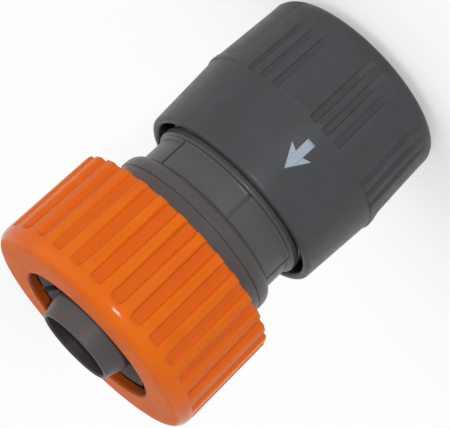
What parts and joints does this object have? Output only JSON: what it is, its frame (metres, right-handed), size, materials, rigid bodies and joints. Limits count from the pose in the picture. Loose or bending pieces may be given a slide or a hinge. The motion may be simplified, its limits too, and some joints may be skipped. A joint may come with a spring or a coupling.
{
  "type": "garden hose quick connector",
  "caption": "Quick connector that clamps on a garden hose with a fluted nut and plugs on a male nose; pulling the sleeve back lets the nose go.",
  "frame": {"origin": "centre of the socket's end face, where the part stands", "axes": "+Z along the water way towards the hose end; the sleeve's arrow faces -Y"},
  "size_m": [0.0362, 0.0362, 0.0575],
  "materials": {
    "body_plastic": "satin",
    "sleeve_plastic": "satin",
    "nut_plastic": "satin",
    "claw_plastic": "satin",
    "spring_steel": "drawn wire"
  },
  "bodies": {
    "connector": {"body": "body_plastic", "front_ring": "body_plastic", "spring": "spring_steel"},
    "release_sleeve": {"sleeve": "sleeve_plastic"},
    "hose_collet": {"collet": "body_plastic"},
    "clamp_nut": {"nut": "nut_plastic"},
    "locking_claw_1": {"claw_1": "claw_plastic"},
    "locking_claw_2": {"claw_2": "claw_plastic"},
    "locking_claw_3": {"claw_3": "claw_plastic"},
    "locking_claw_4": {"claw_4": "claw_plastic"}
  },
  "joints": [
    {"name": "sleeve_slide", "type": "slide", "parent": "connector", "child": "release_sleeve", "axis": [0, 0, 1], "range_m": [0, 0.004], "stiffness_N_per_m": 900, "springref_m": -0.004, "deforming": ["spring"]},
    {"name": "collet_slide", "type": "slide", "parent": "connector", "child": "hose_collet", "axis": [0, 0, 1], "range_m": [0, 0.0045]},
    {"name": "nut_turn", "type": "hinge", "parent": "hose_collet", "child": "clamp_nut", "pos_m": [0, 0, 0.045], "axis": [0, 0, 1], "range_deg": [0, 540]},
    {"name": "claw_1_slide", "type": "slide", "parent": "connector", "child": "locking_claw_1", "axis": [1, 0, 0], "range_m": [0, 0.0013]},
    {"name": "claw_2_slide", "type": "slide", "parent": "connector", "child": "locking_claw_2", "axis": [0, 1, 0], "range_m": [0, 0.0013]},
    {"name": "claw_3_slide", "type": "slide", "parent": "connector", "child": "locking_claw_3", "axis": [-1, 0, 0], "range_m": [0, 0.0013]},
    {"name": "claw_4_slide", "type": "slide", "parent": "connector", "child": "locking_claw_4", "axis": [0, -1, 0], "range_m": [0, 0.0013]}
  ],
  "couplings": [
    {"joint": "collet_slide", "follows": "nut_turn", "m_per_rad": 0.00047746},
    {"joint": "claw_1_slide", "follows": "sleeve_slide", "ratio": 0.325},
    {"joint": "claw_2_slide", "follows": "sleeve_slide", "ratio": 0.325},
    {"joint": "claw_3_slide", "follows": "sleeve_slide", "ratio": 0.325},
    {"joint": "claw_4_slide", "follows": "sleeve_slide", "ratio": 0.325}
  ]
}
